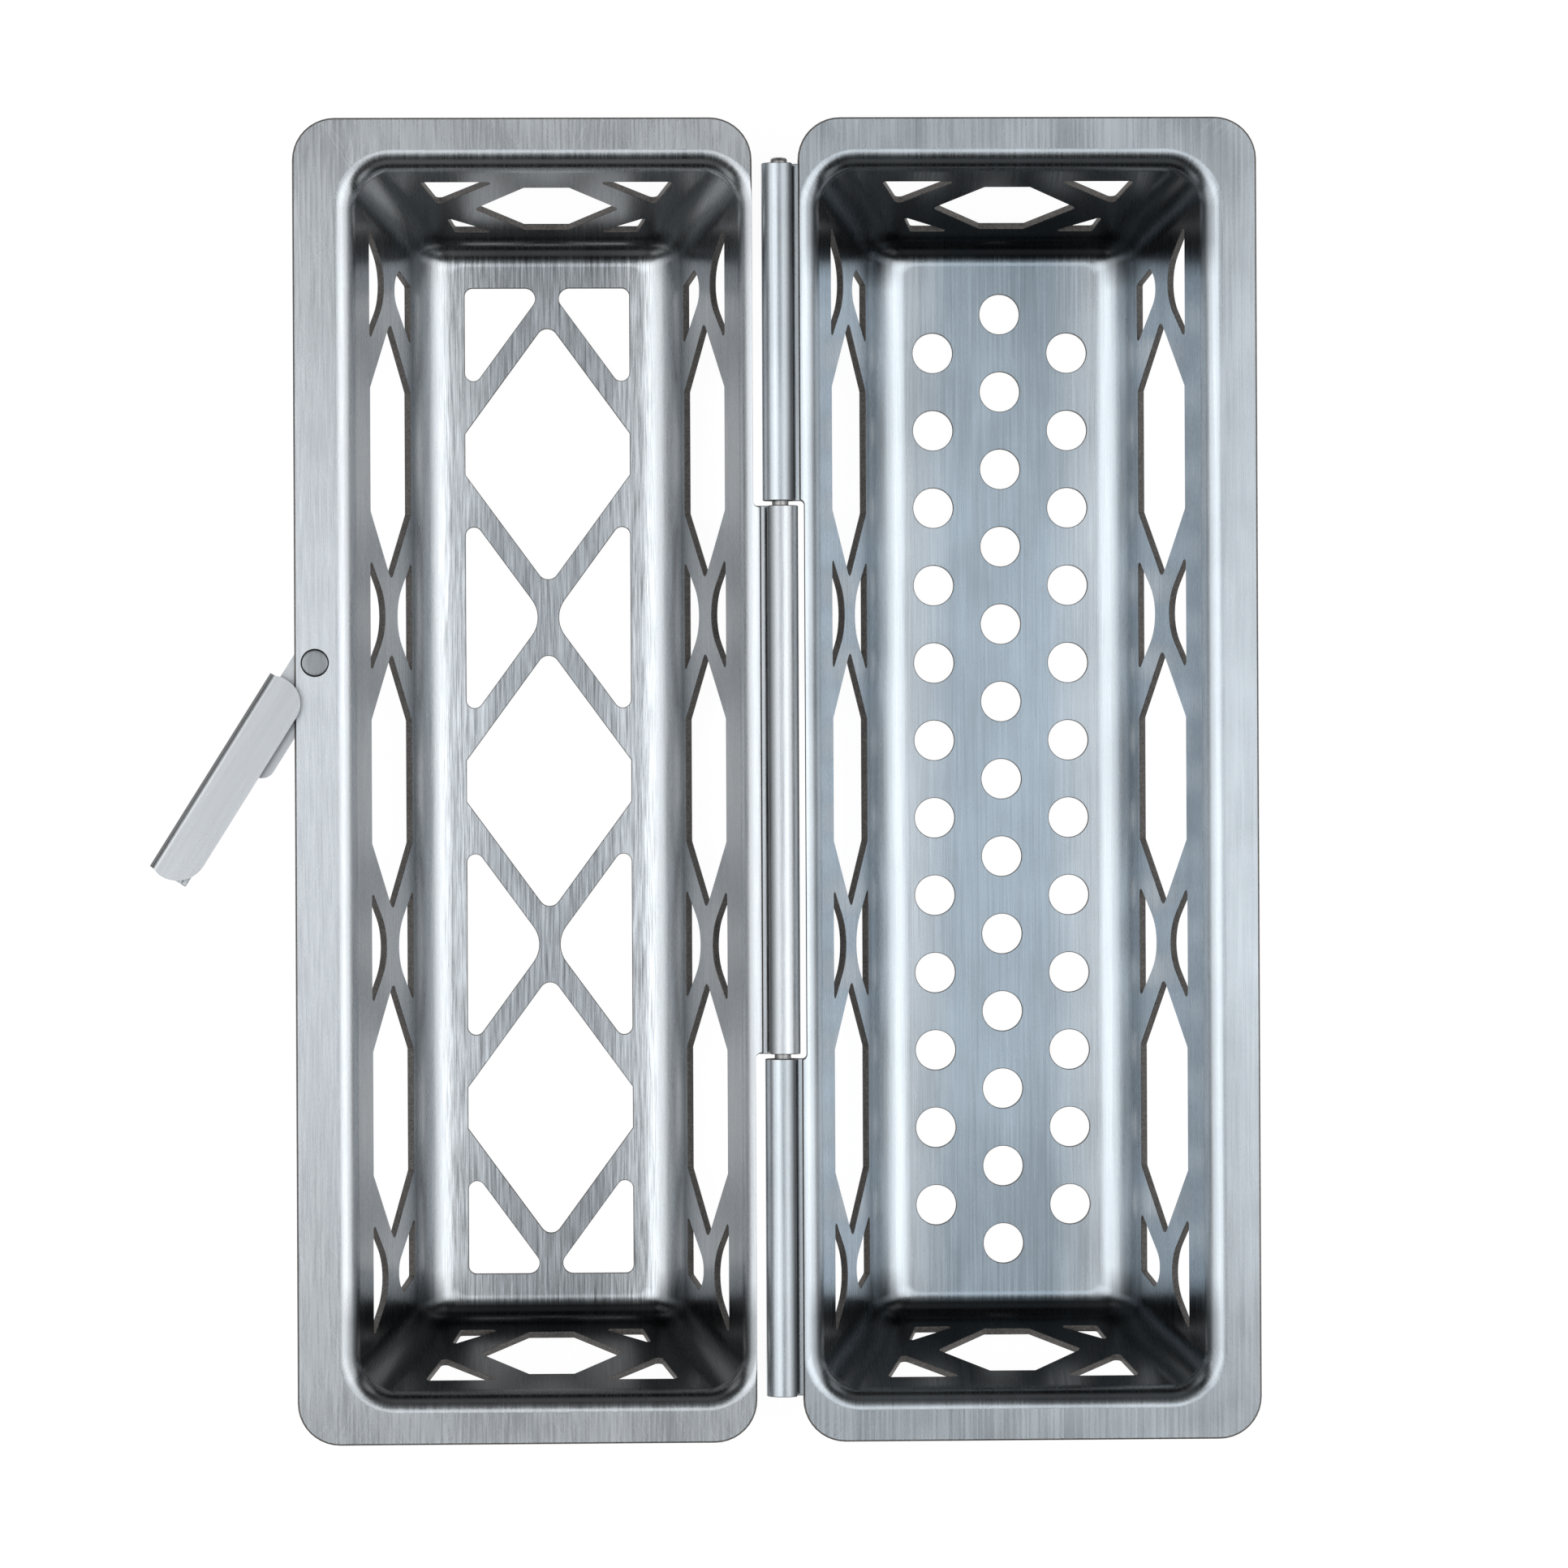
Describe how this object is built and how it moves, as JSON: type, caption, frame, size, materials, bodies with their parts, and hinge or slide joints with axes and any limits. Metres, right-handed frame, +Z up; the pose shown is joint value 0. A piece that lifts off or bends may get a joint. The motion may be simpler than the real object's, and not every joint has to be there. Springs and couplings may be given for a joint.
{
  "type": "grill basket",
  "caption": "Long two-tray grill basket in perforated sheet steel, hinged along one side so it opens flat, with a swinging channel latch that grips both rims when closed.",
  "frame": {"origin": "centre of the outline on the plane the open basket rests on", "axes": "+X from the hinge towards the lid, +Y along the hinge, +Z up out of the open trays"},
  "size_m": [0.2092, 0.25, 0.0393],
  "materials": {
    "base_steel": "brushed along the length",
    "lid_steel": "fine satin brushed along the length",
    "pin_steel": "drawn wire",
    "latch_steel": "smooth satin",
    "rivet_steel": "turned, dull"
  },
  "bodies": {
    "base": {"base_tray": "base_steel", "latch_rivet": "rivet_steel"},
    "lid": {"lid_tray": "lid_steel", "hinge_pin": "pin_steel"},
    "latch": {"latch": "latch_steel"}
  },
  "joints": [
    {"name": "lid_hinge", "type": "hinge", "parent": "base", "child": "lid", "pos_m": [0.01424, 0, 0.03595], "axis": [0, -1, 0], "range_deg": [0, 180]},
    {"name": "latch_pivot", "type": "hinge", "parent": "base", "child": "latch", "pos_m": [-0.07356, 0.0224, 0.0335], "axis": [0, 0, 1], "range_deg": [-68, 32.2]}
  ]
}
